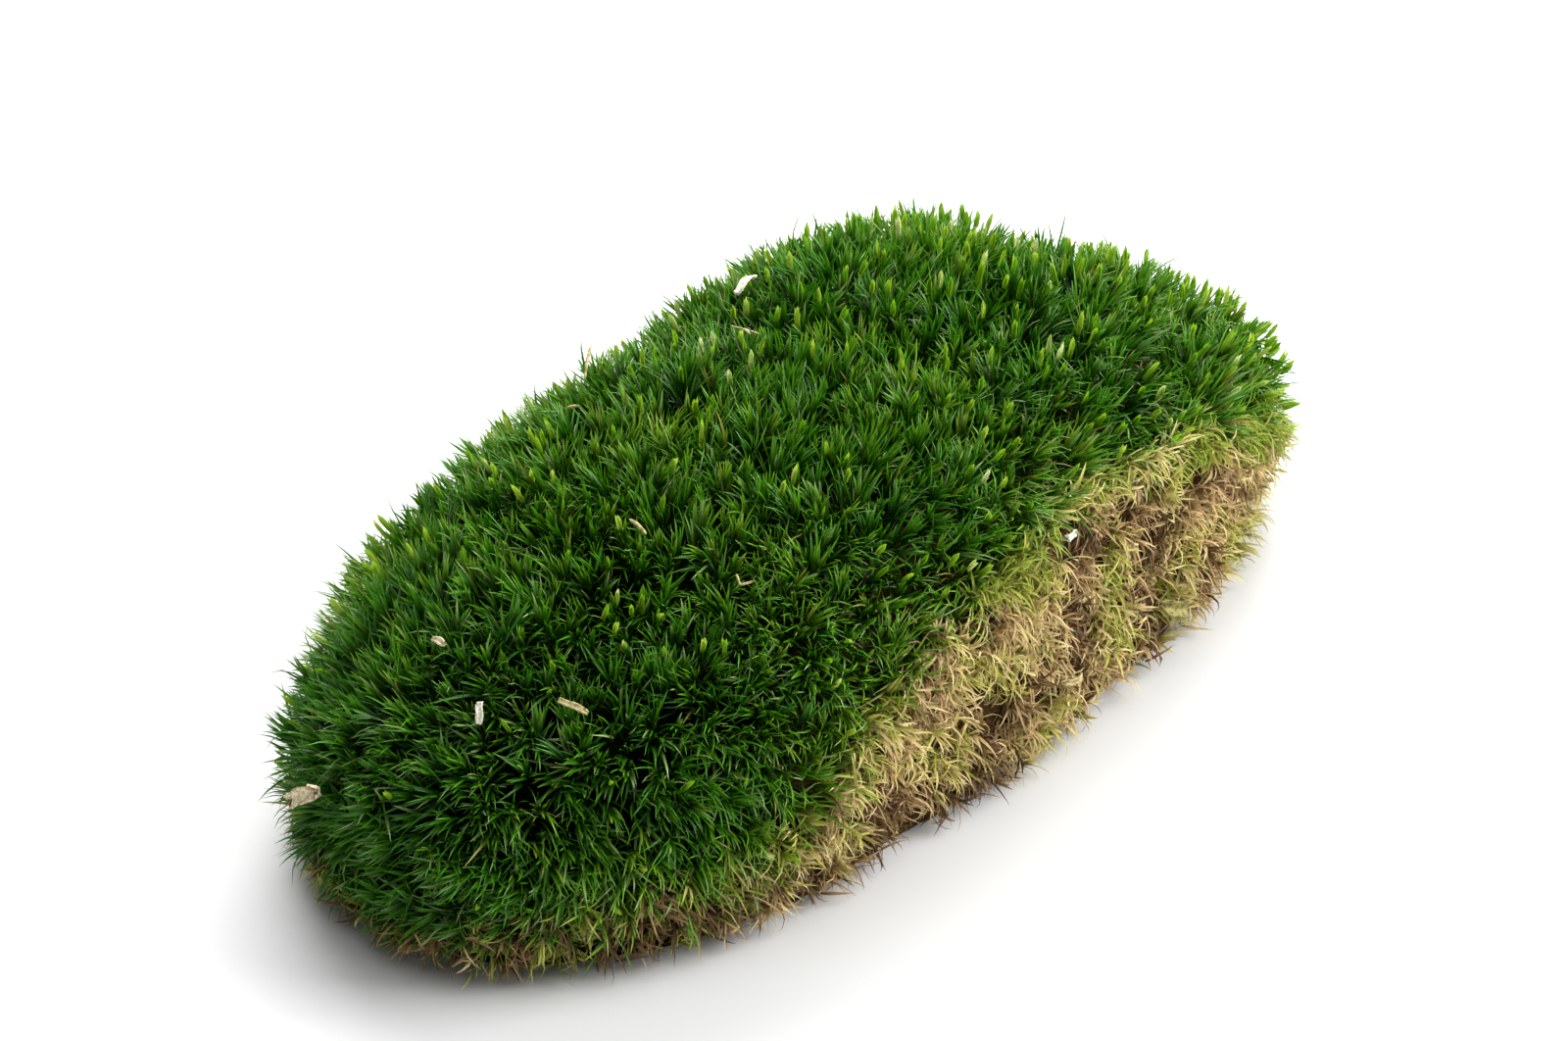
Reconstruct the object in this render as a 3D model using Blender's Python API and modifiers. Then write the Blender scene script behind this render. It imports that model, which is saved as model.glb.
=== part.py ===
"""A clump of moss: one tangled cushion of upright shoots, with the litter caught on it.

Units are metres and +Z is up. The clump was torn off the ground, so its dead base is
cut off flat and lies on z = 0. +X runs along the torn side, which faces -Y, and the
origin is under the middle of the whole clump. The cushion's solid reaches the leaf tips.
"""

import math

import bmesh
import bpy
from mathutils import Matrix, Vector, noise
from mathutils.bvhtree import BVHTree

MM = 0.001

# Driving dimensions of the cushion, in millimetres.
CROWN_HEIGHT = 50.0
WAIST_HEIGHT = 13.0  # the outline is widest here
BASE_INSET = 0.075  # share by which the cut base is smaller than the widest outline
SHOULDER = 2.75  # 2 is a round dome, and a higher number has steeper shoulders
END_DROP = 7.0  # how much lower the crown is over the +X end
NEAR_DROP = 5.0  # and over the -X end
SLOPE_TO_TORN_SIDE = 0.05  # fall of the crown towards -Y
BACK_DROP = 9.0  # how much lower the crown is towards +Y, fading out at the +X end
SEGMENTS = 76
RINGS = 36

# The widest outline, counter-clockwise from the notch at the +X end.
OUTLINE = [
    (88, -4), (84, 12), (68, 25), (44, 31), (18, 34), (-10, 37), (-36, 38), (-59, 31), (-73, 15),
    (-76, -6), (-62, -25), (-37, -40), (-8, -46), (24, -49), (57, -50), (84, -40), (92, -22),
]

# The groove that parts the far lobe from the torn one.
GROOVE_START = Vector((94, -5))
GROOVE_END = Vector((48, 9))
GROOVE_DEPTH = 6.0
GROOVE_HALF_WIDTH = 4.0

# Humps in the crown: small ones between tufts and broad ones across the cushion.
SMALL_HUMP = 1.1
SMALL_HUMP_SIZE = 17.0
BROAD_HUMP = 1.6
BROAD_HUMP_SIZE = 44.0

# The torn band on the -Y side, where the dead stems show.
TORN_MIDDLE = 20.0
TORN_HALF_LENGTH = 62.0
TORN_HEIGHT = 35.0
TORN_STARTS_Y = -30.0  # it lies beyond this
TORN_RECESS = 3.5  # how far the dead stems stand back under the living lip

# Litter is placed by its bearing and rise, in degrees, seen from the cushion's heart.
HEART = Vector((0, 0, 15)) * MM
CLEARANCE = 0.5  # litter lies this far off the cushion's solid

# Flat bits, in millimetres: length, width, the share by which the ends narrow, how far the
# middle bows up, how far the sides curl up, and how deep the end is notched. Then bearing,
# rise, and heading, which is the direction of the long axis: 0 is level and 90 is straight
# up the slope.
STRIP_THICKNESS = 0.22
STRIPS = {
    "white_flake": (2.8, 1.0, 0.25, 0.10, 0.15, 0.0, -175, 19, -85, "pale fibre"),
    "straw_strip": (4.0, 0.9, 0.30, 0.25, 0.15, 0.0, -165, 21, -29, "straw"),
    "tan_husk": (9.0, 2.2, 0.45, 0.70, 0.70, 0.9, 168, 5, 38, "husk"),
    "bud_scale": (2.2, 1.0, 0.50, 0.25, 0.30, 0.0, 176, 24, 7, "husk"),
    "ridge_flake": (5.2, 1.4, 0.45, 0.45, 0.35, 0.8, 24, 49, -179, "pale fibre"),
    "torn_edge_flake": (2.4, 1.0, 0.60, 0.20, 0.30, 0.2, -69, 20, -8, "pale fibre"),
    "curled_leaf": (7.0, 2.4, 0.65, 0.90, 1.00, 0.0, -50, -6, -35, "dead leaf"),
    "curled_straw": (4.6, 1.0, 0.55, 0.90, 0.35, 0.0, -73, -4, -14, "straw"),
}

# Needles, in millimetres: length, radius, bow, and how far the far end stands off the
# surface. Then bearing, rise and heading.
NEEDLES = {
    "cream_needle": (4.6, 0.24, 0.25, 2.6, 97, 60, -173, "straw"),
    "short_needle": (2.6, 0.24, 0.10, 0.6, 135, 60, 81, "straw"),
    "yellow_needle": (3.4, 0.28, 0.30, 0.5, -165, 45, -73, "straw"),
}

# Forked bits, in millimetres: joints as (along, across, up), which joint each grows from,
# and the thickness. Then bearing, rise and heading.
FORKED = {
    "forked_straw": (
        [(-2.1, 0.0, 0.4), (0.2, 0.1, 0.6), (2.1, 0.6, 0.4), (1.7, -0.9, 0.9)],
        [0, 0, 1, 1], 0.30, 15, 70, 150, "straw",
    ),
    "bent_straw": (
        [(-1.3, 0.7, 0.4), (0.0, -0.4, 0.4), (0.9, 0.4, 0.8), (1.3, 0.9, 1.0)],
        [0, 0, 1, 2], 0.32, -142, 37, -49, "straw",
    ),
    "dark_rootlet": (
        [(0.0, 0.0, 0.6), (1.3, 0.1, 1.3), (2.6, 0.5, 1.4), (4.4, 0.7, 1.1), (2.2, -0.6, 1.7),
         (3.6, -1.5, 1.8), (3.1, 1.6, 2.0)],
        [0, 0, 1, 2, 1, 4, 2], 0.28, -88, -9, -90, "root",
    ),
}

# sRGB colours and roughness of the plain materials.
COLOURS = {
    "living moss": (0x2C4A0B, 0.6),
    "dead moss stems": (0x918851, 0.8),
    "pale fibre": (0xE6E0D0, 0.7),
    "straw": (0xC8BD86, 0.6),
    "husk": (0xB79A6A, 0.7),
    "dead leaf": (0x6E6433, 0.7),
    "root": (0x2A1E12, 0.8),
}


def clear_scene():
    for old in list(bpy.data.objects):
        bpy.data.objects.remove(old, do_unlink=True)


def new_collection(name):
    collection = bpy.data.collections.new(name)
    bpy.context.scene.collection.children.link(collection)
    return collection


def linear(srgb):
    """A hex sRGB colour as linear red, green and blue."""
    channels = [(srgb >> shift & 255) / 255 for shift in (16, 8, 0)]
    return [c / 12.92 if c <= 0.04045 else ((c + 0.055) / 1.055) ** 2.4 for c in channels]


def new_material(name):
    colour, roughness = COLOURS[name]
    material = bpy.data.materials.new(name)
    material.use_nodes = True
    shader = material.node_tree.nodes["Principled BSDF"]
    shader.inputs["Base Color"].default_value = (*linear(colour), 1.0)
    shader.inputs["Roughness"].default_value = roughness
    shader.inputs["Metallic"].default_value = 0.0
    return material


def new_object(name, mesh, collection, *materials):
    thing = bpy.data.objects.new(name, mesh)
    for material in materials:
        thing.data.materials.append(material)
    collection.objects.link(thing)
    return thing


# --- the cushion ---------------------------------------------------------------------


def outline_at(turn):
    """A point of the widest outline, on a smooth closed curve through OUTLINE."""
    place = turn * len(OUTLINE)
    start = math.floor(place)
    t = place - start
    a, b, c, d = (Vector(OUTLINE[(start + k) % len(OUTLINE)]) for k in (-1, 0, 1, 2))
    curve = 2 * b + (c - a) * t + (2 * a - 5 * b + 4 * c - d) * t**2
    return (curve + (3 * b - a - 3 * c + d) * t**3) / 2


def crown_height(x, y):
    """Height of the dome over (x, y), before its shoulders round it off."""
    drop = END_DROP * max(0.0, x / 80) ** 2 + NEAR_DROP * max(0.0, -x / 80) ** 2
    drop += BACK_DROP * max(0.0, y / 38) ** 1.5 * min(1.0, max(0.0, (78 - x) / 45))
    return CROWN_HEIGHT - drop + SLOPE_TO_TORN_SIDE * min(0.0, y)


def groove_depth(x, y):
    along = GROOVE_END - GROOVE_START
    share = (Vector((x, y)) - GROOVE_START).dot(along) / along.length_squared
    nearest = GROOVE_START + along * min(1.0, max(0.0, share))
    fade = min(1.0, max(0.0, 1.0 - share))
    away = (Vector((x, y)) - nearest).length / GROOVE_HALF_WIDTH
    return GROOVE_DEPTH * fade * math.exp(-(away**2))


def torn_share(point):
    """How far inside the torn band a place on the side is: 0 outside it, 1 at its middle."""
    ends = 1 - ((point.x - TORN_MIDDLE) / TORN_HALF_LENGTH) ** 2
    if ends <= 0 or point.y > TORN_STARTS_Y:
        return 0.0
    height = point.z / (TORN_HEIGHT * math.sqrt(ends))
    return math.sqrt(ends) * math.sin(math.pi * height) if 0 < height < 1 else 0.0


def cushion_point(ball):
    """Where a point of the unit ball goes on the cushion, in millimetres."""
    turn = (math.atan2(ball.y, ball.x) / math.tau) % 1.0
    rise = math.asin(max(-1.0, min(1.0, ball.z)))
    edge = outline_at(turn)
    if rise >= 0:
        reach = max(0.0, math.cos(rise)) ** (2 / SHOULDER)
        lift = math.sin(rise) ** (2 / SHOULDER)
        x, y = edge * reach
        z = WAIST_HEIGHT + (crown_height(x, y) - WAIST_HEIGHT - groove_depth(x, y)) * lift
    else:
        # Down to 45 degrees is the tucked-in side, and the rest is a floor under the cut.
        down = min(1.0, -rise / (math.pi / 4))
        floor = max(0.0, (-rise - math.pi / 4) / (math.pi / 4))
        x, y = edge * (1 - BASE_INSET * down**1.6) * (1 - floor)
        z = WAIST_HEIGHT - (WAIST_HEIGHT + 3) * down
    point = Vector((x, y, z))
    outward = Vector((ball.x, ball.y, max(0.0, ball.z))).normalized()
    humps = SMALL_HUMP * noise.noise(point / SMALL_HUMP_SIZE)
    humps += BROAD_HUMP * noise.noise(point / BROAD_HUMP_SIZE + Vector((3, 5, 7)))
    if rise <= -math.pi / 4:
        return point
    return point + outward * (humps - TORN_RECESS * torn_share(point))


def make_cushion(parts, cutters, living, dead):
    shape = bmesh.new()
    bmesh.ops.create_uvsphere(shape, u_segments=SEGMENTS, v_segments=RINGS, radius=1.0)
    for vertex in shape.verts:
        vertex.co = cushion_point(vertex.co.copy()) * MM
    for face in shape.faces:
        face.smooth = True
        face.material_index = 1 if torn_share(face.calc_center_median() / MM) > 0 else 0
    mesh = bpy.data.meshes.new("moss_cushion")
    shape.to_mesh(mesh)
    shape.free()
    cushion = new_object("moss_cushion", mesh, parts, living, dead)

    bpy.ops.mesh.primitive_cube_add(size=1.0, location=(0, 0, -10 * MM))
    ground = bpy.context.object
    ground.name = "ground_cutter"
    ground.scale = (300 * MM, 300 * MM, 20 * MM)
    ground.data.materials.append(living)
    ground.data.materials.append(dead)
    for face in ground.data.polygons:
        face.material_index = 1
    ground.display_type = "WIRE"
    ground.hide_render = True
    for home in list(ground.users_collection):
        home.objects.unlink(ground)
    cutters.objects.link(ground)

    cut = cushion.modifiers.new("cut off flat at the ground", "BOOLEAN")
    cut.operation = "DIFFERENCE"
    cut.solver = "EXACT"
    cut.object = ground
    return cushion


# --- the litter caught on the cushion ------------------------------------------------


def surface_place(surface, bearing, rise, heading):
    """Where a piece lies: its z stands off the cushion and its x has the heading given."""
    bearing, rise, heading = (math.radians(angle) for angle in (bearing, rise, heading))
    flat = math.cos(rise)
    ray = Vector((flat * math.cos(bearing), flat * math.sin(bearing), math.sin(rise)))
    spot, normal, _, _ = surface.ray_cast(HEART, ray)
    level = Vector((0, 0, 1)).cross(normal).normalized()
    upslope = normal.cross(level)
    along = level * math.cos(heading) + upslope * math.sin(heading)
    turn = Matrix((along, normal.cross(along), normal)).transposed().to_4x4()
    return Matrix.Translation(spot + normal * CLEARANCE * MM) @ turn


def make_strip(name, parts, materials, surface, sizes):
    """A flat bit of leaf or fibre, bowed along and curled across, that tapers to its ends."""
    length, width, narrowing, bow, curl, notch, bearing, rise, heading, material = sizes
    shape = bmesh.new()
    bmesh.ops.create_grid(shape, x_segments=8, y_segments=4, size=1.0)
    for vertex in shape.verts:
        along, across = vertex.co.x, vertex.co.y
        taper = (1 - narrowing * abs(along) ** 4) * (1 + 0.1 * math.sin(5 * along + across))
        vertex.co.x = along * length / 2 - notch * max(0.0, along) ** 3 * (1 - abs(across))
        vertex.co.y = across * taper * width / 2 + 0.06 * width * math.sin(3 * along)
        vertex.co.z = bow * (1 - along**2) + curl * taper**2 * across**2
    lowest = min(vertex.co.z for vertex in shape.verts)
    for vertex in shape.verts:
        vertex.co = (vertex.co - Vector((0, 0, lowest))) * MM
    for face in shape.faces:
        face.smooth = True
    mesh = bpy.data.meshes.new(name)
    shape.to_mesh(mesh)
    shape.free()
    strip = new_object(name, mesh, parts, materials[material])
    strip.matrix_world = surface_place(surface, bearing, rise, heading)
    wall = strip.modifiers.new("thickness", "SOLIDIFY")
    wall.thickness = STRIP_THICKNESS * MM
    wall.offset = 1.0


def make_needle(name, parts, materials, surface, sizes):
    """A round needle, thin at both ends, with one end lifted off the cushion."""
    length, radius, bow, lift, bearing, rise, heading, material = sizes
    route = bpy.data.curves.new(name, "CURVE")
    route.dimensions = "3D"
    route.bevel_depth = radius * MM
    route.bevel_resolution = 1
    route.use_fill_caps = True
    line = route.splines.new("POLY")
    steps = 6
    line.points.add(steps)
    for index, point in enumerate(line.points):
        share = index / steps
        height = radius + lift * share + bow * math.sin(math.pi * share)
        point.co = (*(Vector(((share - 0.5) * length, 0, height)) * MM), 1.0)
        point.radius = 1 - 0.6 * abs(2 * share - 1) ** 2
    needle = new_object(name, route, parts, materials[material])
    needle.matrix_world = surface_place(surface, bearing, rise, heading)


def make_forked(name, parts, materials, surface, sizes):
    """A twig-like bit whose branches grow from each other, as one skinned body."""
    joints, grows_from, thickness, bearing, rise, heading, material = sizes
    mesh = bpy.data.meshes.new(name)
    edges = [(parent, child) for child, parent in enumerate(grows_from) if child > 0]
    mesh.from_pydata([Vector(joint) * MM for joint in joints], edges, [])
    forked = new_object(name, mesh, parts, materials[material])
    forked.matrix_world = surface_place(surface, bearing, rise, heading)
    skin = forked.modifiers.new("bark", "SKIN")
    skin.use_smooth_shade = True
    tips = {child for child in range(len(joints)) if child not in grows_from}
    for index, joint in enumerate(mesh.skin_vertices[0].data):
        joint.radius = [thickness / 2 * MM * (0.6 if index in tips else 1.0)] * 2
        joint.use_root = index == 0
    smooth = forked.modifiers.new("rounding", "SUBSURF")
    smooth.levels = smooth.render_levels = 1


def centre_on_base(parts):
    """Moves every piece alike, so that the clump's box stands on the origin."""
    bpy.context.view_layer.update()
    graph = bpy.context.evaluated_depsgraph_get()
    corners = []
    for piece in parts.objects:
        solid = piece.evaluated_get(graph)
        points = solid.to_mesh().vertices
        corners += [piece.matrix_world @ point.co for point in points]
        solid.to_mesh_clear()
    for axis in (0, 1):
        low = min(corner[axis] for corner in corners)
        high = max(corner[axis] for corner in corners)
        for piece in list(parts.objects):
            piece.location[axis] -= (low + high) / 2


def main():
    clear_scene()
    parts = new_collection("moss_clump")
    cutters = new_collection("cutters")
    materials = {name: new_material(name) for name in COLOURS}
    cushion = make_cushion(parts, cutters, materials["living moss"], materials["dead moss stems"])
    bpy.context.view_layer.update()
    surface = BVHTree.FromObject(cushion, bpy.context.evaluated_depsgraph_get())
    for make, bits in ((make_strip, STRIPS), (make_needle, NEEDLES), (make_forked, FORKED)):
        for name, sizes in bits.items():
            make(name, parts, materials, surface, sizes)
    centre_on_base(parts)


main()
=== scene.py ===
"""Looks of a clump of cushion moss: its living shoots, the dead stems on its torn side, and its litter."""

import math

import bmesh
import bpy
import numpy as np
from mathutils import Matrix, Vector, kdtree, noise


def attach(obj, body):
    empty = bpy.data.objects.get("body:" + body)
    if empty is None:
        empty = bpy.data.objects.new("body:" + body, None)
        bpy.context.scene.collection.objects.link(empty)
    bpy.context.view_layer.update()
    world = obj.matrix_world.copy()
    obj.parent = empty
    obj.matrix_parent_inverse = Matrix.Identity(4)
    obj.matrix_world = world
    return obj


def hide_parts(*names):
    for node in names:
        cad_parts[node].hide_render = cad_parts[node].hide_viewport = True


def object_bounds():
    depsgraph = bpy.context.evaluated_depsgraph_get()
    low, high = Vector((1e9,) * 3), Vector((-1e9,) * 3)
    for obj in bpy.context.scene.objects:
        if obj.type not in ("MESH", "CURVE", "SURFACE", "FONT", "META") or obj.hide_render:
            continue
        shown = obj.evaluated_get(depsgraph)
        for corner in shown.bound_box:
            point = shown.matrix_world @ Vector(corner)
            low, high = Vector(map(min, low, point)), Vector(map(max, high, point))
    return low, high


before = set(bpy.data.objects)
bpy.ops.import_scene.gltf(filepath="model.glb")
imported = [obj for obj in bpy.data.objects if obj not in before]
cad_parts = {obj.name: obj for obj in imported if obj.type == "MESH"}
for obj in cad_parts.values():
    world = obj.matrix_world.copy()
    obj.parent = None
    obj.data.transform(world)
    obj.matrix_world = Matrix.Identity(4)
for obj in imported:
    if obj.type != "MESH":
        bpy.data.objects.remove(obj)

cad_box = [list(corner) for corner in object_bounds()]
MM = 0.001
rng = np.random.default_rng(20)

# The torn band on the -Y side, where the cushion's solid stands back.
TORN_MIDDLE_X = 12 * MM
TORN_HALF_LENGTH = 62 * MM
TORN_HEIGHT = 35 * MM
TORN_STARTS_Y = -22 * MM

# Living shoots: their tips lie on the cushion's solid.
ZONES = ("near_end", "near_crown", "middle_crown", "far_crown", "far_end")
SHOOT_SPACING = 2.45 * MM
LOWEST_SHOOT = 4 * MM
LEAVES_PER_SHOOT = 20
LEAF_LENGTH = 5.6 * MM
LEAF_WIDTH = 0.46 * MM
LEAF_STEP = math.radians(137.5)  # round the stem, from each leaf to the next
LONG_LEAF_SHARE = 0.025  # of the living leaves
PAINTED_SHEEN_SHARE = 0.10  # of the living leaves, painted pale grey-green as a silvery sheen
FRINGE_HEIGHT = 8 * MM  # above the torn band the shoots droop over it, longer and paler
HEM_HEIGHT = 8 * MM  # below this the leaves have died back and browned
HEM_RISE = 10 * MM  # and up to this much higher on the torn side's flanks

# Tones are the places along a leaf material's colours: live green, painted sheen, browned.
GREEN_TONES = (0.03, 0.76)
PAINTED_SHEEN_TONES = (0.79, 0.86)
BROWNED_TONES = (0.89, 0.99)

# Rolled young tips.
YOUNG_TIP_SHARE = 0.26  # of the shoots
LEAVES_PER_YOUNG_TIP = 3

# Dead tufts on the torn side, small shoots at its foot, and the browned hem round the rest.
TUFT_SPACING = 1.8 * MM
LOWEST_TUFT = 1.5 * MM
LEAVES_PER_TUFT = 18
HOLE_SIZE = 5 * MM  # of the gaps between the tufts
FOOT_SHOOT_SPACING = 3.4 * MM
FOOT_SHOOT_HEIGHTS = (2 * MM, 9 * MM)
FOOT_SHOOT_SIZE = 0.62  # of a full-grown shoot's leaves
FOOT_SHOOT_TIP = 0.8 * MM  # how far its tip stands out of the solid
FOOT_SHOOT_LIFT = 2.0 * MM  # and how far its shorter leaves are moved out after it
HEM_SPACING = 2.3 * MM
HEM_HEIGHTS = (0.6 * MM, 16 * MM)
HEM_MARGIN = 1.2 * MM  # its tufts stop this far under the height where the leaves have browned
HEM_SINK = 1.0 * MM  # its leaves start this much deeper than the tufts' leaves

# Blades, as long and as wide as 1: the width at each row from root to tip, whose last row is
# drawn together to a point, and how deep the midrib is folded.
BLADE_ROWS = 4
LEAF_WIDTHS = (0.7, 1.0, 0.82, 0.5, 1.0)
LEAF_FOLD = 0.22
YOUNG_LEAF_WIDTHS = (0.7, 0.95, 1.0, 0.85, 1.0)
YOUNG_LEAF_FOLD = 0.5

LITTER_ROOM = 0.7 * MM  # leaves that would come this near a bit of litter are left out
LITTER_AIR = (0, 1.2, 2.4, 3.6)  # heights over it, in millimetres, that are kept clear too
FLOOR_GAP = 0.6 * MM  # leaves that would come this near the floor are left out
LEAST_TURN = 0.02  # radians that a straight leaf is taken to bend

# Thatch: the cushion's solid, sunk under the leaf tips.
THATCH_DEPTH = 9.0 * MM
TORN_DEPTH = 3.4 * MM  # on the torn side
CUT_EDGE = 0.5 * MM  # what lies under this is the flat cut base
CUT_LENGTH, CUT_WIDTH = 0.93, 0.90  # of the solid's base, so that the leaves hide its edge


# --- small tools ---------------------------------------------------------------------


def linear(hex_colour):
    """An sRGB hex colour as linear red, green, blue and alpha."""
    channels = [int(hex_colour[i : i + 2], 16) / 255 for i in (1, 3, 5)]
    return [c / 12.92 if c <= 0.04045 else ((c + 0.055) / 1.055) ** 2.4 for c in channels] + [1.0]


def node(tree, kind, settings=None, stops=(), **inputs):
    """Adds a node with its settings, the (position, hex colour) stops of its ramp, its input
    values and the sockets linked into it. An input is named, or numbered as in _0."""
    made = tree.nodes.new("ShaderNode" + kind)
    for name, value in (settings or {}).items():
        setattr(made, name, value)
    for name, value in inputs.items():
        socket = made.inputs[int(name[1:]) if name[1:].isdigit() else name.replace("_", " ")]
        if isinstance(value, bpy.types.NodeSocket):
            tree.links.new(value, socket)
        else:
            socket.default_value = linear(value) if isinstance(value, str) else value
    while stops and len(made.color_ramp.elements) < len(stops):
        made.color_ramp.elements.new(0.5)
    for index, (position, colour) in enumerate(stops):
        made.color_ramp.elements[index].position = position
        made.color_ramp.elements[index].color = linear(colour)
    return made


def new_material(name):
    """A material with its tree, its surface shader and its output."""
    material = bpy.data.materials.new(name)
    material.use_nodes = True
    tree = material.node_tree
    return material, tree, tree.nodes["Principled BSDF"], tree.nodes["Material Output"]


def let_through(tree, shader, output, colour, share):
    """Lets a share of the light through a thin piece, in its own colour."""
    glow = node(tree, "BsdfTranslucent", Color=colour)
    mixed = node(tree, "MixShader", _0=share, _1=shader.outputs[0], _2=glow.outputs[0])
    tree.links.new(mixed.outputs[0], output.inputs["Surface"])


def deselect_all():
    for thing in bpy.context.selected_objects:
        thing.select_set(False)


def pick(thing):
    """Makes one object the selected and active one."""
    deselect_all()
    thing.select_set(True)
    bpy.context.view_layer.objects.active = thing


def select_where(thing, test):
    """In edit mode, selects just the vertices whose place passes the test."""
    shape = bmesh.from_edit_mesh(thing.data)
    for element in (*shape.faces, *shape.edges, *shape.verts):
        element.select = False
    for vertex in shape.verts:
        vertex.select = bool(test(vertex.co))
    shape.select_flush(True)
    bmesh.update_edit_mesh(thing.data)


def stand_for(piece, solid):
    """Puts a finished piece in the place of a CAD solid on the one body."""
    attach(piece, "root")
    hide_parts(solid)


def unit(vectors):
    return vectors / np.maximum(np.linalg.norm(vectors, axis=-1, keepdims=True), 1e-9)


def across_of(axis):
    """Two directions square to each axis and to each other."""
    helper = np.where(np.abs(axis[:, 2:3]) < 0.9, [[0.0, 0.0, 1.0]], [[1.0, 0.0, 0.0]])
    first = unit(np.cross(axis, helper))
    return first, np.cross(axis, first)


def around_axis(around, first, second):
    """The directions at these angles round each shoot's axis."""
    return np.cos(around)[..., None] * first[:, None] + np.sin(around)[..., None] * second[:, None]


def smooth_noise(places, size, seed):
    """Noise between about -1 and 1 whose patches are this large."""
    offset = Vector((seed, 2 * seed, 3 * seed))
    return np.array([noise.noise(Vector(place) / size + offset) for place in places])


# --- the cushion's surface -----------------------------------------------------------


def merged_cushion():
    """A copy of the cushion's solid with its loose triangles merged."""
    deselect_all()
    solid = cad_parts["moss_cushion"]
    cushion = bpy.data.objects.new("thatch", solid.data.copy())
    bpy.context.scene.collection.objects.link(cushion)
    pick(cushion)
    bpy.ops.object.mode_set(mode="EDIT")
    bpy.ops.mesh.select_all(action="SELECT")
    bpy.ops.mesh.remove_doubles(threshold=1e-5)
    bpy.ops.object.mode_set(mode="OBJECT")
    bpy.ops.object.shade_smooth()
    return cushion


def read_surface(cushion):
    """The corners and the smooth normals of the cushion's triangles, without its flat base."""
    mesh = cushion.data
    mesh.calc_loop_triangles()
    places = np.array([vertex.co for vertex in mesh.vertices])
    corners = np.array([triangle.vertices for triangle in mesh.loop_triangles])
    faces = places[corners]
    facing = unit(np.cross(faces[:, 1] - faces[:, 0], faces[:, 2] - faces[:, 0]))
    side = facing[:, 2] > -0.95
    normals = np.zeros_like(places)
    for corner in range(3):
        np.add.at(normals, corners[side, corner], facing[side])
    return faces[side], unit(normals)[corners[side]]


def scatter(surface, spacing, wanted, tries=60000):
    """Places on the surface at least this far apart, where wanted says so, and their normals."""
    faces, normals = surface
    area = np.linalg.norm(np.cross(faces[:, 1] - faces[:, 0], faces[:, 2] - faces[:, 0]), axis=1)
    face = rng.choice(len(faces), tries, p=area / area.sum())
    share = np.sort(rng.random((tries, 2)), axis=1)
    weights = np.stack([share[:, 0], share[:, 1] - share[:, 0], 1 - share[:, 1]], axis=1)[..., None]
    places = (faces[face] * weights).sum(axis=1)
    outward = unit((normals[face] * weights).sum(axis=1))
    taken, kept = {}, []
    for index in np.flatnonzero(wanted(places)):
        x, y, z = (places[index] // spacing).astype(int)
        cells = [(x + i, y + j, z + k) for i in (-1, 0, 1) for j in (-1, 0, 1) for k in (-1, 0, 1)]
        near = [other for cell in cells for other in taken.get(cell, ())]
        if not near or np.linalg.norm(places[near] - places[index], axis=1).min() > spacing:
            taken.setdefault((x, y, z), []).append(index)
            kept.append(index)
    return places[kept], outward[kept]


def torn_share(place):
    """How far inside the torn band each place is: 0 outside it, 1 at its middle."""
    ends = 1 - ((place[..., 0] - TORN_MIDDLE_X) / TORN_HALF_LENGTH) ** 2
    height = place[..., 2] / (TORN_HEIGHT * np.sqrt(np.maximum(ends, 1e-6)))
    inside = (ends > 0) & (height < 1) & (place[..., 1] < TORN_STARTS_Y)
    return np.where(inside, np.sqrt(np.maximum(ends, 0)) * np.clip(1.6 * (1 - height), 0, 1), 0)


def fringe_share(places):
    """How much a shoot belongs to the fringe that droops over the torn band, 0 to 1."""
    steps = np.linspace(0, FRINGE_HEIGHT, 9)
    touching = np.stack([torn_share(places + [0.0, -0.6 * step, -step]) > 0 for step in steps])
    return np.where(touching.any(axis=0), 1 - touching.argmax(axis=0) / len(steps), 0)[:, None]


def hem_height(outward):
    """How high the browned foot of the cushion reaches: higher on the torn side's flanks."""
    return HEM_HEIGHT + HEM_RISE * np.clip(-outward[:, 1], 0, 1) ** 2


def litter_and_air(cushion):
    """Finds the nearest place on the litter or in the air right over it."""
    litter = [solid for name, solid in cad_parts.items() if name != "moss_cushion"]
    points = []
    for vertex in (vertex for solid in litter for vertex in solid.data.vertices):
        _, _, outward, _ = cushion.closest_point_on_mesh(vertex.co)
        points += [vertex.co + height * MM * outward for height in LITTER_AIR]
    tree = kdtree.KDTree(len(points))
    for index, point in enumerate(points):
        tree.insert(point, index)
    tree.balance()
    return tree


# --- one leaf, and a mesh of many ----------------------------------------------------


def model_blade(name, widths, fold):
    """One leaf 1 wide and 1 long along +Y: folded on its midrib, and run out to a point."""
    deselect_all()
    bpy.ops.mesh.primitive_grid_add(
        x_subdivisions=2, y_subdivisions=BLADE_ROWS, size=1, location=(0, 0.5, 0)
    )
    blade = bpy.context.object
    blade.name = name
    bpy.ops.object.transform_apply(location=True)
    bpy.ops.object.mode_set(mode="EDIT")
    for row, width in enumerate(widths):
        select_where(blade, lambda co: abs(co.y - row / BLADE_ROWS) < 0.01)
        bpy.ops.transform.resize(value=(width, 1, 1))
    select_where(blade, lambda co: abs(co.x) < 0.01 and co.y < 0.99)
    bpy.ops.transform.translate(value=(0, 0, -fold))
    select_where(blade, lambda co: co.y > 0.99)
    bpy.ops.mesh.merge(type="CENTER")
    bpy.ops.object.mode_set(mode="OBJECT")
    shape = np.array([vertex.co for vertex in blade.data.vertices])
    triangles = []
    for root, *others in (face.vertices for face in blade.data.polygons):
        triangles += [(root, *pair) for pair in zip(others, others[1:])]
    bpy.data.objects.remove(blade)
    return shape, np.array(triangles)


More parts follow.
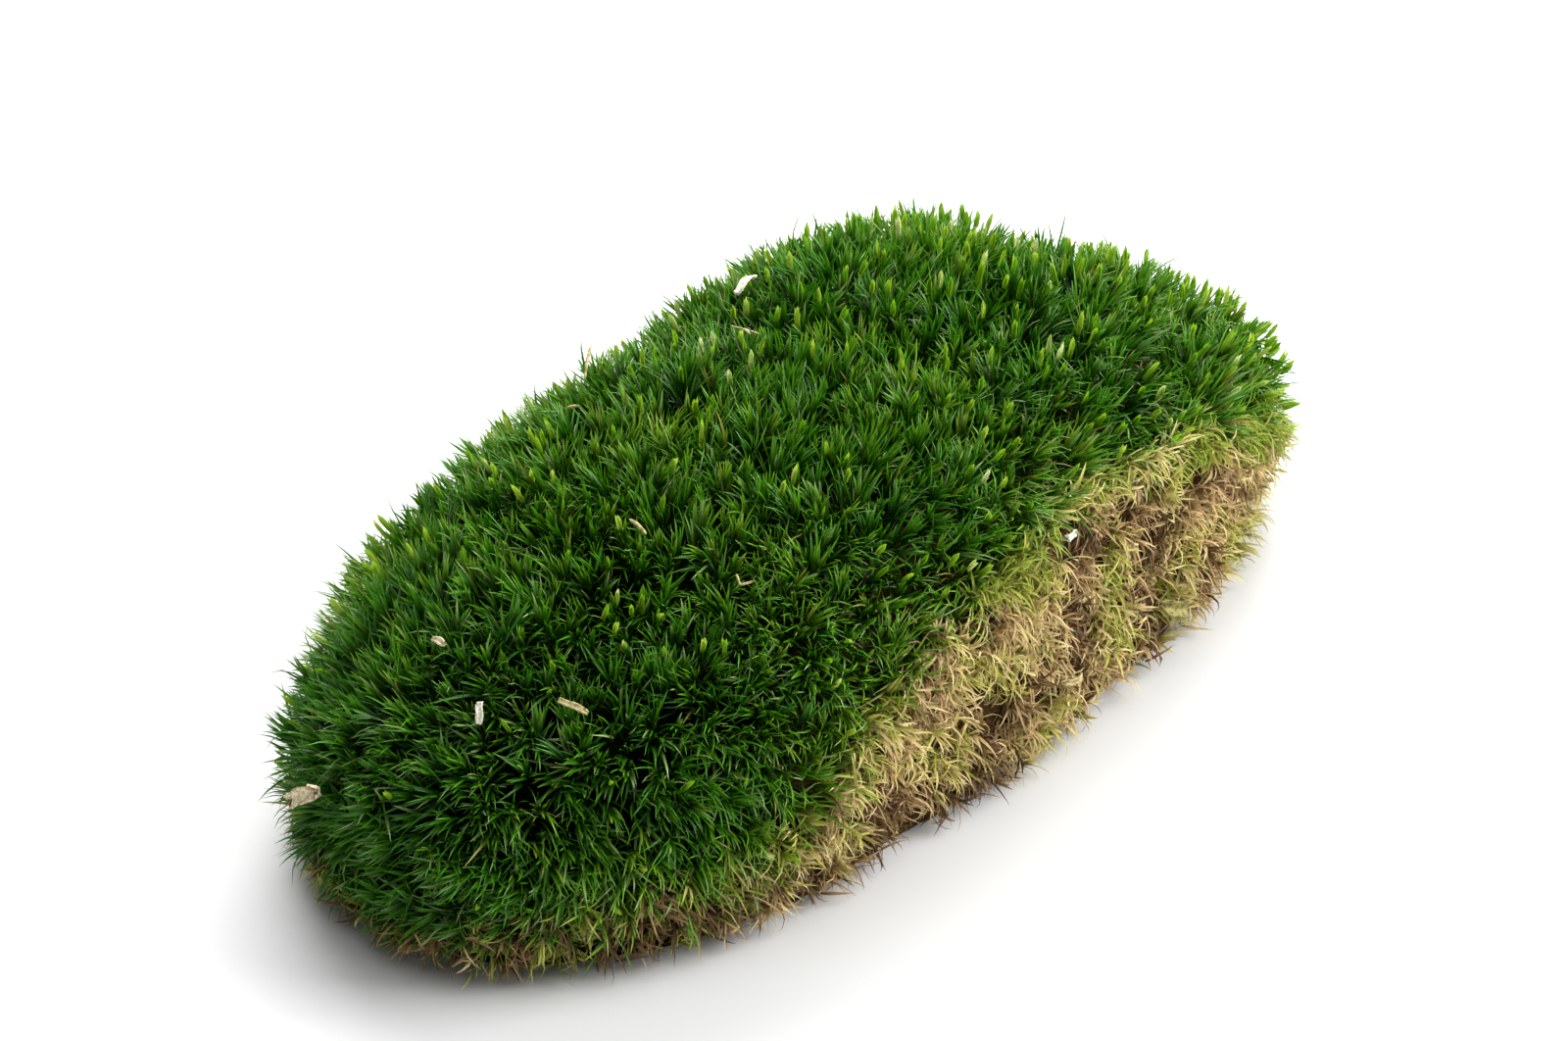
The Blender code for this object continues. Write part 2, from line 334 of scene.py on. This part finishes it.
def arcs(start, ahead, toward, turn, length, width, tone):
    """Leaves as grow() takes them. Each is an arc: where it starts, the direction ahead, the
    direction that it bends toward, how far it turns, its length and width, and its tone."""
    bend = unit(toward - (toward * ahead).sum(-1, keepdims=True) * ahead)
    leaves = {"start": start, "ahead": ahead, "bend": bend, "turn": turn}
    leaves.update(length=length, width=width, tone=tone)
    return {name: values.reshape(-1, *values.shape[2:]) for name, values in leaves.items()}


def take(leaves, chosen):
    return {name: values[chosen] for name, values in leaves.items()}


def place_along(leaves, share):
    """Where each leaf's midrib is at a share of its length."""
    turn = np.maximum(leaves["turn"], LEAST_TURN)
    radius = leaves["length"] / turn
    forward = (radius * np.sin(turn * share))[:, None] * leaves["ahead"]
    return leaves["start"] + forward + (radius * (1 - np.cos(turn * share)))[:, None] * leaves["bend"]


def in_the_clear(leaves):
    """Leaves without those that would come near the floor, poke through litter or hide it."""
    heights = [place_along(leaves, share)[:, 2] for share in np.linspace(0, 1, 6)]
    leaves = take(leaves, np.min(heights, axis=0) > FLOOR_GAP)
    clear = np.ones(len(leaves["turn"]), dtype=bool)
    for share in (0.5, 0.75, 1.0):
        places = place_along(leaves, share)
        clear &= np.array([litter_tree.find(place)[2] > LITTER_ROOM for place in places])
    return take(leaves, clear)


def grow(name, blade, leaves, material):
    """One mesh of many leaves, each the blade laid along its own arc."""
    shape, triangles = blade
    start, ahead, bend = (leaves[key][:, None, :] for key in ("start", "ahead", "bend"))
    turn = np.maximum(leaves["turn"], LEAST_TURN)[:, None]
    length, width = leaves["length"][:, None], leaves["width"][:, None]
    angle = turn * shape[None, :, 1]
    radius = length / turn
    forward = (radius * np.sin(angle))[..., None] * ahead
    forward = forward + (radius * (1 - np.cos(angle)))[..., None] * bend
    up = np.sin(angle)[..., None] * ahead - np.cos(angle)[..., None] * bend
    across = (shape[None, :, 0] * width)[..., None] * np.cross(ahead, bend)
    places = start + forward + across + (shape[None, :, 2] * width)[..., None] * up
    count, corners = places.shape[:2]
    index = (triangles[None] + (np.arange(count) * corners)[:, None, None]).reshape(-1)

    mesh = bpy.data.meshes.new(name)
    mesh.vertices.add(count * corners)
    mesh.vertices.foreach_set("co", places.astype(np.float32).ravel())
    mesh.loops.add(len(index))
    mesh.loops.foreach_set("vertex_index", index.astype(np.int32))
    mesh.polygons.add(len(index) // 3)
    mesh.polygons.foreach_set("loop_start", np.arange(0, len(index), 3, dtype=np.int32))
    # U is the leaf's tone, with a sliver of width, and V runs from its root to its tip.
    tone = leaves["tone"][:, None] + 0.008 * shape[None, :, 0]
    spot = np.stack([tone, np.broadcast_to(0.02 + 0.96 * shape[None, :, 1], tone.shape)], axis=-1)
    layer = mesh.uv_layers.new(name="OFBake")
    layer.uv.foreach_set("vector", spot.reshape(-1, 2)[index].astype(np.float32).ravel())
    mesh.update(calc_edges=True)
    mesh.shade_smooth()
    mesh.materials.append(material)
    piece = bpy.data.objects.new(name, mesh)
    bpy.context.scene.collection.objects.link(piece)
    stand_for(piece, "moss_cushion")


# --- the leaves of each kind of shoot ------------------------------------------------


def shoot_axes(places, outward, straggle, rise):
    """The way each shoot points, two directions across it, and the way its leaves all sweep."""
    axis = unit(outward + straggle * rng.normal(size=places.shape) + [0, 0, rise])
    first, second = across_of(axis)
    swirl = 5 * smooth_noise(places, 16 * MM, 7)[:, None] + 0.6 * rng.normal(size=(len(places), 1))
    sweep = np.cos(swirl) * first + np.sin(swirl) * second
    downhill = outward[:, 2:3] * outward - [0, 0, 1]
    return axis, first, second, unit(sweep + downhill)


def shoot_liveliness(places, outward, fringe):
    """How yellow-green each living shoot is: patchy, with painted shade near the end, olive low on the torn
    side.
    """
    patch = 0.2 * smooth_noise(places, 22 * MM, 3)[:, None]
    # Painted shade: the tone is lowered toward the near end, so that it reads darker and duller there.
    painted_end_shade = 0.34 * np.clip(-places[:, :1] / (80 * MM), 0, 1) ** 3
    olive = 0.6 * np.clip(-outward[:, 1:2], 0, 1) * np.clip(0.9 - places[:, 2:] / (40 * MM), 0, 1)
    olive = olive + 0.1 * np.clip(-places[:, :1] / (30 * MM), 0, 1)
    lively = rng.normal(0.38, 0.09, (len(places), 1)) + patch - painted_end_shade + olive + 0.2 * fringe
    return np.clip(lively, 0.05, 0.75)


def shoot_leaves(places, outward):
    """The leaves of living shoots whose tips lie at these places. Age 0 is the youngest leaf,
    at the tip, and 1 the oldest, which starts deepest, stands out most and curls most."""
    count, total = each_leaf = (len(places), LEAVES_PER_SHOOT)
    axis, first, second, sweep = shoot_axes(places, outward, straggle=0.22, rise=0.30)
    age = np.broadcast_to(np.linspace(0, 1, total), each_leaf)
    around = np.arange(total) * LEAF_STEP + rng.random((count, 1)) * math.tau
    around = around + rng.normal(size=each_leaf) * 0.3
    spread = np.radians(4 + 22 * age) + rng.normal(size=each_leaf) * 0.18
    steep = np.clip(1 - outward[:, 2:3], 0, 1)
    fringe = fringe_share(places)
    size = (1 + 0.3 * steep + 0.35 * fringe) * rng.uniform(0.8, 1.15, (count, 1))
    size = size * rng.uniform(0.85, 1.15, each_leaf)
    length = LEAF_LENGTH * size * np.interp(age, [0, 0.15, 0.5, 1], [0.6, 0.8, 1.0, 0.95])
    hollow = 1.6 * smooth_noise(places, 7 * MM, 5)[:, None] + rng.uniform(-0.7, 1.5, (count, 1))
    depth = (np.interp(age, [0, 0.5, 1], [3.0, 5.7, 8.8]) + 1.5 * steep + hollow) * MM
    stretch = np.where(rng.random(each_leaf) < LONG_LEAF_SHARE, rng.uniform(1.25, 1.55, each_leaf), 1)
    width = LEAF_WIDTH * rng.uniform(0.75, 1.15, each_leaf) * np.interp(age, [0, 0.15, 1], [1.2, 1.0, 0.9])
    turn = np.interp(age, [0, 0.2, 1], [0.2, 0.6, 1.1]) * rng.uniform(0.3, 1.7, each_leaf)
    turn = turn * (1 + 0.8 * steep + 0.5 * fringe)
    radial = around_axis(around, first, second)
    ahead = np.cos(spread)[..., None] * axis[:, None] + np.sin(spread)[..., None] * radial
    start = places[:, None] - depth[..., None] * axis[:, None] + 0.3 * MM * radial

    lively = shoot_liveliness(places, outward, fringe)
    tone = lively + 0.2 * (1 - age) ** 2 - 0.12 * age + rng.normal(size=each_leaf) * 0.07
    tone = np.clip(tone, *GREEN_TONES)
    low = np.clip((hem_height(outward) - places[:, 2]) / (10 * MM), 0, 1)[:, None]
    browned = low * 0.8 + 0.012 + 0.25 * fringe**2
    # Painted sheen: a share of leaves, picked at random, take the pale grey-green tones.
    tone = np.where(rng.random(each_leaf) < PAINTED_SHEEN_SHARE, rng.uniform(*PAINTED_SHEEN_TONES, each_leaf), tone)
    tone = np.where(rng.random(each_leaf) < browned, rng.uniform(*BROWNED_TONES, each_leaf), tone)
    toward = 0.2 * radial + 1.0 * sweep[:, None] + 0.35 * rng.normal(size=radial.shape)
    return arcs(start, ahead, toward, turn, length * stretch, width, tone)


def young_tip_leaves(places, outward):
    """Young leaves rolled together, which stand out of some shoots as pale yellow-green tips."""
    count, total = each_leaf = (len(places), LEAVES_PER_YOUNG_TIP)
    axis, first, second, _ = shoot_axes(places, outward, straggle=0.16, rise=0.32)
    around = rng.random((count, 1)) * math.tau + np.arange(total) * math.tau / total
    radial = around_axis(around, first, second)
    tall = rng.uniform(2.6, 4.2, (count, 1)) * MM
    length = tall * rng.uniform(0.75, 1.0, each_leaf)
    start = places[:, None] - (tall - rng.uniform(0.4, 1.7, (count, 1)) * MM)[..., None] * axis[:, None]
    start = start + 0.12 * MM * radial
    ahead = unit(axis[:, None] + rng.uniform(-0.02, 0.16, (*each_leaf, 1)) * radial)
    width = rng.uniform(0.55, 0.85, each_leaf) * MM
    tone = 0.1 + rng.gamma(2.2, 0.15, (count, 1)) + 0.06 * rng.normal(size=each_leaf)
    turn = rng.uniform(0.05, 0.4, each_leaf)
    return arcs(start, ahead, -radial, turn, length, width, np.clip(tone, 0.03, 0.95))


def tuft_leaves(places, outward, colour, sink=0.0):
    """Dead curled leaves that hang from their stems, each tuft about its own colour."""
    count, total = each_leaf = (len(places), LEAVES_PER_TUFT)
    axis, first, second, _ = shoot_axes(places, outward, straggle=0.55, rise=0.0)
    age = np.broadcast_to(np.linspace(0, 1, total), each_leaf)
    around = rng.uniform(0, math.tau, each_leaf)
    spread = np.radians(12 + 60 * age) + rng.normal(size=each_leaf) * 0.25
    length = rng.uniform(2.6, 5.8, each_leaf) * MM
    depth = rng.uniform(1.0, 4.4, each_leaf) * MM
    width = rng.uniform(0.26, 0.46, each_leaf) * MM
    turn = rng.uniform(0.6, 2.9, each_leaf)
    radial = around_axis(around, first, second)
    ahead = np.cos(spread)[..., None] * axis[:, None] + np.sin(spread)[..., None] * radial
    start = places[:, None] - (depth[..., None] + sink) * outward[:, None]
    droop = np.array([0.0, -0.2, -1.0]) + rng.normal(size=(count, 1, 3)) * 0.5
    tone = np.clip(colour[:, None] + rng.normal(size=each_leaf) * 0.13, 0.03, 0.97)
    return arcs(start, ahead, 0.7 * radial + 0.8 * droop, turn, length, width, tone)


# --- materials -----------------------------------------------------------------------

# Settings of the nodes that mix two colours: their share is input 0, the colours are 6 and 7.
BLEND = {"data_type": "RGBA"}
MULTIPLY = {"data_type": "RGBA", "blend_type": "MULTIPLY"}


def leaf_material(name, tones, ages, roughness, through, tip=None):
    """Leaf tissue one cell thick. Its colour runs through the tones from leaf to leaf, times
    the ages from root to tip. A tip is the colour at the very point, and how much of it shows."""
    material, tree, shader, output = new_material(name)
    layer = node(tree, "UVMap", {"uv_map": "OFBake"})
    parts = node(tree, "SeparateXYZ", Vector=layer.outputs["UV"])
    tone = node(tree, "ValToRGB", stops=tones, Fac=parts.outputs["X"]).outputs["Color"]
    age = node(tree, "ValToRGB", stops=ages, Fac=parts.outputs["Y"]).outputs["Color"]
    colour = node(tree, "Mix", MULTIPLY, _0=1.0, _6=tone, _7=age).outputs[2]
    # A pale point toward the tip: partly the leaf's own pale tip, partly a painted sheen.
    if tip:
        tip_and_sheen_colour, most = tip
        along = parts.outputs["Y"]
        pale = node(tree, "MapRange", Value=along, From_Min=0.45, From_Max=1.0, To_Min=0.0, To_Max=most)
        colour = node(tree, "Mix", BLEND, _0=pale.outputs[0], _6=colour, _7=tip_and_sheen_colour).outputs[2]
    tree.links.new(colour, shader.inputs["Base Color"])
    shader.inputs["Roughness"].default_value = roughness
    shader.inputs["IOR"].default_value = 1.4
    shader.inputs["Specular IOR Level"].default_value = 0.5
    let_through(tree, shader, output, colour, through)
    return material


def living_leaf():
    """Live moss leaf: deep green, yellower when young, with a slight gloss, pale points that are partly
    painted sheen, and some leaves painted pale grey-green as sheen.
    """
    greens = [(0.0, "#266a0a"), (0.35, "#489210"), (0.6, "#6cae20"), (0.76, "#a0c040")]
    # Painted sheen: pale grey-green tones that stand in for the silvery glint of the leaves.
    painted_sheen = [(0.79, "#8cb070"), (0.86, "#b4ca98")]
    browned = [(0.89, "#8a8440"), (1.0, "#c4ae6c")]
    return leaf_material(
        "living_moss_leaf",
        tones=greens + painted_sheen + browned,
        ages=[(0.0, "#2c2c10"), (0.3, "#708644"), (0.6, "#b6c692"), (0.9, "#fffff0")],
        roughness=0.3,
        through=0.18,
        tip=("#a8c470", 0.06),
    # The pale points are partly the leaves' own pale tips and partly a painted silvery sheen.
    )


def young_leaf():
    """Rolled young moss leaf: pale yellow-green and waxy, glowing against the deep green."""
    return leaf_material(
        "young_moss_tip",
        tones=[(0.0, "#5c9a18"), (0.3, "#96c424"), (0.6, "#c0d650"), (1.0, "#eef0c4")],
        ages=[(0.0, "#b0bc70"), (0.4, "#ecf2d4"), (1.0, "#ffffff")],
        roughness=0.45,
        through=0.4,
    )


def foot_leaf():
    """Moss leaf that grew on at the torn foot: olive and soft, as it got little light."""
    return leaf_material(
        "olive_moss_leaf",
        tones=[(0.0, "#6e8a1c"), (0.4, "#a0b03c"), (0.75, "#ccd070"), (1.0, "#d8c890")],
        ages=[(0.0, "#70643c"), (0.4, "#dcdcb0"), (1.0, "#ffffff")],
        roughness=0.5,
        through=0.3,
    )


def dead_leaf():
    """Dry dead moss leaf: matt tan to brown, and olive where it died last."""
    browns = [(0.0, "#684e32"), (0.2, "#b09468"), (0.4, "#ecd2a0"), (0.6, "#f8ecb4")]
    olives = [(0.8, "#dedc78"), (1.0, "#94ae30")]
    return leaf_material(
        "dead_moss_leaf",
        tones=browns + olives,
        ages=[(0.0, "#8c785e"), (0.5, "#f2eadc"), (1.0, "#ffffff")],
        roughness=0.6,
        through=0.25,
    )


def thatch_material():
    """Packed dead moss stems, matt and rough: painted near-black shade among the shoots, so that the
    gaps look deep, brown on the torn side, and dotted with the stems' ends on the cut base."""
    material, tree, shader, _ = new_material("moss_thatch_and_gap_shade")
    place = node(tree, "TexCoord").outputs["Object"]
    # Grain about 1 mm long, as thick as a few stems.
    grain = node(tree, "TexNoise", Vector=place, Scale=900.0, Detail=6.0, Roughness=0.7).outputs["Fac"]
    axes = node(tree, "SeparateXYZ", Vector=place)
    inward, upward = axes.outputs["Y"], axes.outputs["Z"]
    fade = {"To_Min": 1.0, "To_Max": 0.0}
    torn = node(tree, "MapRange", Value=inward, From_Min=-30 * MM, From_Max=-20 * MM, **fade)
    # Painted shade: near-black away from the torn side, where the gaps among the shoots lie deep.
    dark = node(tree, "ValToRGB", stops=[(0.3, "#050800"), (0.7, "#141c02")], Fac=grain)
    browns = [(0.3, "#20160c"), (0.5, "#4c3822"), (0.7, "#806846")]
    brown = node(tree, "ValToRGB", stops=browns, Fac=grain)
    colour = node(tree, "Mix", BLEND, _0=torn.outputs[0], _6=dark.outputs[0], _7=brown.outputs[0])

    # Stems' ends 1.5 mm apart, each a little different.
    stems = node(tree, "TexVoronoi", Vector=place, Scale=650.0)
    rings = [(0.0, "#a88c58"), (0.35, "#6a5230"), (0.7, "#241a0c")]
    ends = node(tree, "ValToRGB", stops=rings, Fac=stems.outputs["Distance"])
    shade = node(tree, "Mix", MULTIPLY, _0=0.5, _6=ends.outputs[0], _7=stems.outputs["Color"])
    base = node(tree, "MapRange", Value=upward, From_Min=0.2 * MM, From_Max=0.6 * MM, **fade)
    colour = node(tree, "Mix", BLEND, _0=base.outputs[0], _6=colour.outputs[2], _7=shade.outputs[2])
    tree.links.new(colour.outputs[2], shader.inputs["Base Color"])
    shader.inputs["Roughness"].default_value = 0.9
    shader.inputs["Specular IOR Level"].default_value = 0.0
    bump = node(tree, "Bump", Height=grain, Strength=0.8, Distance=1 * MM)
    tree.links.new(bump.outputs[0], shader.inputs["Normal"])
    return material


def litter_material(name, dark, light, through):
    """Dry plant matter: matt, with flecks under 1 mm, and thin enough to glow a little."""
    material, tree, shader, output = new_material(name)
    place = node(tree, "TexCoord").outputs["Object"]
    grain = node(tree, "TexNoise", Vector=place, Scale=1400.0, Detail=5.0, Roughness=0.65).outputs["Fac"]
    colour = node(tree, "ValToRGB", stops=[(0.36, dark), (0.56, light)], Fac=grain).outputs["Color"]
    tree.links.new(colour, shader.inputs["Base Color"])
    shader.inputs["Roughness"].default_value = 0.75
    shader.inputs["Specular IOR Level"].default_value = 0.3
    bump = node(tree, "Bump", Height=grain, Strength=0.6, Distance=0.2 * MM)
    tree.links.new(bump.outputs[0], shader.inputs["Normal"])
    let_through(tree, shader, output, colour, through)
    return material


# --- the living shoots and their young tips ------------------------------------------


def grow_living_shoots(surface, blade):
    """The green crown in five stretches with as many leaves in each. Returns the places of the
    shoots and the way the surface faces there."""
    places, outward = scatter(
        surface, SHOOT_SPACING, lambda p: (torn_share(p) <= 0) & (p[:, 2] > LOWEST_SHOOT)
    )
    rooted = places[:, 2] > LOWEST_SHOOT + 0.5 * (hem_height(outward) - HEM_HEIGHT)
    places, outward = places[rooted], outward[rooted]
    leaves = in_the_clear(shoot_leaves(places, outward))
    green = living_leaf()
    column = leaves["start"][:, 0]
    edges = np.quantile(column, np.linspace(0, 1, len(ZONES) + 1))
    edges[-1] += MM
    for zone, near, far in zip(ZONES, edges, edges[1:]):
        stretch = take(leaves, (column >= near) & (column < far))
        grow(f"{zone}_shoots", blade, stretch, green)
    return places, outward


def grow_young_tips(places, outward, blade):
    """The young tips, in patches and more of them toward the far end."""
    share = YOUNG_TIP_SHARE * (1 + places[:, 0] / (90 * MM) + 1.5 * smooth_noise(places, 14 * MM, 17))
    chosen = rng.random(len(places)) < share
    leaves = in_the_clear(young_tip_leaves(places[chosen], outward[chosen]))
    grow("young_tips", blade, leaves, young_leaf())


# --- the torn side and the foot ------------------------------------------------------


def grow_torn_side(surface, blade, dead):
    """Dead tufts with holes between them, more olive near the green fringe and the far end."""
    places, outward = scatter(surface, TUFT_SPACING, lambda p: (torn_share(p) > 0) & (p[:, 2] > LOWEST_TUFT))
    whole = smooth_noise(places, HOLE_SIZE, 23) < 0.26
    places, outward = places[whole], outward[whole]
    fringe = 1 - np.clip(torn_share(places) / 0.4, 0, 1)
    far_end = np.clip((places[:, 0] - 30 * MM) / (30 * MM), 0, 1)
    colour = 0.42 + 0.9 * smooth_noise(places, 8 * MM, 11) + 0.45 * fringe + 0.25 * far_end
    grow("torn_side_tufts", blade, in_the_clear(tuft_leaves(places, outward, colour)), dead)


def grow_foot_shoots(surface, blade):
    """A few small olive shoots at the foot of the torn side, most of them on its far half."""
    low, high = FOOT_SHOOT_HEIGHTS
    places, outward = scatter(
        surface, FOOT_SHOOT_SPACING, lambda p: (torn_share(p) > 0) & (p[:, 2] > low) & (p[:, 2] < high)
    )
    chosen = rng.random(len(places)) < 0.25 + 0.5 * (places[:, 0] > 0)
    places, outward = places[chosen], outward[chosen]
    leaves = shoot_leaves(places + FOOT_SHOOT_TIP * outward, outward)
    leaves["length"] *= FOOT_SHOOT_SIZE
    leaves["start"] += np.repeat(outward, LEAVES_PER_SHOOT, axis=0) * FOOT_SHOOT_LIFT
    grow("torn_side_green_shoots", blade, in_the_clear(leaves), foot_leaf())


def grow_hem(surface, blade, dead):
    """Browned tufts round the foot of the living part, two in five of them still olive."""
    low, high = HEM_HEIGHTS
    places, outward = scatter(
        surface, HEM_SPACING, lambda p: (torn_share(p) <= 0) & (p[:, 2] > low) & (p[:, 2] < high)
    )
    chosen = places[:, 2] < hem_height(outward) - HEM_MARGIN
    places, outward = places[chosen], outward[chosen]
    olive = rng.random(len(places)) < 0.4
    brown = 0.10 + 0.5 * smooth_noise(places, 8 * MM, 13)
    colour = np.where(olive, rng.uniform(0.85, 1, len(places)), brown)
    leaves = tuft_leaves(places, outward, colour, HEM_SINK)
    grow("foot_tufts", blade, in_the_clear(leaves), dead)


def sink_thatch(cushion):
    """Sinks the cushion's copy under its leaves, less on the torn side, and draws its base in."""
    pick(cushion)
    bpy.ops.object.mode_set(mode="EDIT")
    for torn, depth in ((False, THATCH_DEPTH), (True, TORN_DEPTH)):
        select_where(cushion, lambda co: co.z > CUT_EDGE and (torn_share(np.array(co)) > 0) == torn)
        bpy.ops.transform.shrink_fatten(value=-depth)
    select_where(cushion, lambda co: co.z <= CUT_EDGE)
    bpy.ops.transform.resize(value=(CUT_LENGTH, CUT_WIDTH, 1))
    bpy.ops.object.mode_set(mode="OBJECT")
    # None of it may go under the cut.
    for vertex in cushion.data.vertices:
        vertex.co.z = max(vertex.co.z, 0)
    cushion.data.materials.clear()
    cushion.data.materials.append(thatch_material())
    stand_for(cushion, "moss_cushion")


# --- litter --------------------------------------------------------------------------


def roughen_litter(name, material, crumple, fray, seed):
    """The solid of a bit of litter, crumpled and with its ends frayed by so many millimetres."""
    deselect_all()
    bit = bpy.data.objects.new(f"{name}_look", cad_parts[name].data.copy())
    bpy.context.scene.collection.objects.link(bit)
    pick(bit)
    places = np.array([vertex.co for vertex in bit.data.vertices])
    centre = places.mean(axis=0)
    long_axis = np.linalg.svd(places - centre, full_matrices=False)[2][0]
    reach = np.abs((places - centre) @ long_axis).max()
    bpy.ops.object.mode_set(mode="EDIT")
    bpy.ops.mesh.select_all(action="SELECT")
    bpy.ops.mesh.remove_doubles(threshold=1e-6)
    bpy.ops.mesh.subdivide(number_cuts=1, smoothness=0.6)
    bpy.ops.transform.vertex_random(offset=crumple * MM, seed=seed, wait_for_input=False)
    if fray:
        select_where(bit, lambda co: abs((np.array(co) - centre) @ long_axis) > 0.66 * reach)
        bpy.ops.transform.vertex_random(offset=fray * MM, seed=seed, wait_for_input=False)
    bpy.ops.mesh.select_all(action="SELECT")
    bpy.ops.mesh.normals_make_consistent(inside=False)
    bpy.ops.object.mode_set(mode="OBJECT")
    bpy.ops.object.shade_smooth()
    bit.data.materials.clear()
    bit.data.materials.append(material)
    stand_for(bit, name)


def lay_litter():
    """Each bit of litter with its material, and how far it is crumpled and its ends frayed."""
    # Bleached plant fibre: off-white, soft and bright.
    fibre = litter_material("pale_dry_fibre", "#b4a88c", "#f2eee0", 0.2)
    # Dry grass stem: straw yellow with darker flecks.
    straw = litter_material("dry_straw", "#8f7d48", "#d2c590", 0.15)
    # Papery bud scale: cream, mottled with brown.
    husk = litter_material("bud_husk", "#94703e", "#fbf0cc", 0.15)
    # Old curled leaf: dull olive brown.
    old_leaf = litter_material("curled_dead_leaf", "#544622", "#a8a05e", 0.1)
    # Dry root bark: nearly black, with no light through it.
    rootlet = litter_material("dark_rootlet", "#1a120a", "#3c2a1a", 0.0)
    litter = {
        "white_flake": (fibre, "pale_fibre", 0.05, 0.16),
        "ridge_flake": (fibre, "pale_fibre", 0.05, 0.30),
        "torn_edge_flake": (fibre, "pale_fibre", 0.05, 0.30),
        "straw_strip": (straw, "straw", 0.05, 0.16),
        "curled_straw": (straw, "straw", 0.05, 0.20),
        "forked_straw": (straw, "straw", 0.05, 0.0),
        "bent_straw": (straw, "straw", 0.05, 0.0),
        "cream_needle": (straw, "straw", 0.05, 0.0),
        "short_needle": (straw, "straw", 0.05, 0.0),
        "yellow_needle": (straw, "straw", 0.05, 0.0),
        "tan_husk": (husk, "husk", 0.16, 0.75),
        "bud_scale": (husk, "husk", 0.05, 0.20),
        "curled_leaf": (old_leaf, "dead_leaf", 0.08, 0.25),
        "dark_rootlet": (rootlet, "root", 0.05, 0.0),
    }
    for seed, (name, (material, slot, crumple, fray)) in enumerate(litter.items()):
        roughen_litter(name, material, crumple, fray, seed)


# --- build ---------------------------------------------------------------------------


cushion = merged_cushion()
surface = read_surface(cushion)
litter_tree = litter_and_air(cushion)
leaf_blade = model_blade("leaf_blade", LEAF_WIDTHS, LEAF_FOLD)
young_blade = model_blade("young_blade", YOUNG_LEAF_WIDTHS, YOUNG_LEAF_FOLD)
dead = dead_leaf()

shoots, shoots_outward = grow_living_shoots(surface, leaf_blade)
grow_young_tips(shoots, shoots_outward, young_blade)
grow_torn_side(surface, leaf_blade, dead)
grow_foot_shoots(surface, leaf_blade)
grow_hem(surface, leaf_blade, dead)
sink_thatch(cushion)
lay_litter()


# --- stage ---------------------------------------------------------------------------

CAMERA_PLACE = Vector((-0.739, -0.473, 0.631))
LENS, FILM_WIDTH = 184, 36  # millimetres
FLOOR_SIZE = 6  # metres
SOFTBOXES = {  # place, width in metres, watts
    "back_softbox": ((0.84, 0.60, 0.80), 1.1, 34),
    "right_softbox": ((0.70, -1.00, 0.80), 0.9, 29),
    "top_softbox": ((-0.1, -0.2, 1.9), 1.8, 17),
}

scene = bpy.context.scene
low, high = (Vector(corner) for corner in cad_box)
middle = (low + high) / 2


def aim(thing, place):
    """Puts a camera or a light at a place and turns it to the middle of the clump."""
    scene.collection.objects.link(thing)
    thing.location = place
    thing.rotation_euler = (middle - thing.location).to_track_quat("-Z", "Y").to_euler()


deselect_all()
bpy.ops.mesh.primitive_plane_add(size=FLOOR_SIZE)
floor = bpy.context.object
floor.name = "floor"
# Painted board: plain, pale and matt, so that only the clump's shadow shows on it.
floor_material, _, floor_shader, _ = new_material("plain_floor")
floor_shader.inputs["Base Color"].default_value = linear("#dcdcdc")
floor_shader.inputs["Roughness"].default_value = 0.9
floor.data.materials.append(floor_material)

camera = bpy.data.objects.new("camera", bpy.data.cameras.new("camera"))
aim(camera, CAMERA_PLACE)
camera.data.lens = LENS
camera.data.sensor_width = FILM_WIDTH
scene.camera = camera

for name, (place, width, power) in SOFTBOXES.items():
    light = bpy.data.objects.new(name, bpy.data.lights.new(name, "AREA"))
    aim(light, place)
    light.data.shape = "SQUARE"
    light.data.size = width
    light.data.energy = power

world = bpy.data.worlds.new("studio")
scene.world = world
world.use_nodes = True
world.node_tree.nodes["Background"].inputs["Color"].default_value = linear("#ffffff")
world.node_tree.nodes["Background"].inputs["Strength"].default_value = 0.2
scene.view_settings.view_transform = "Standard"
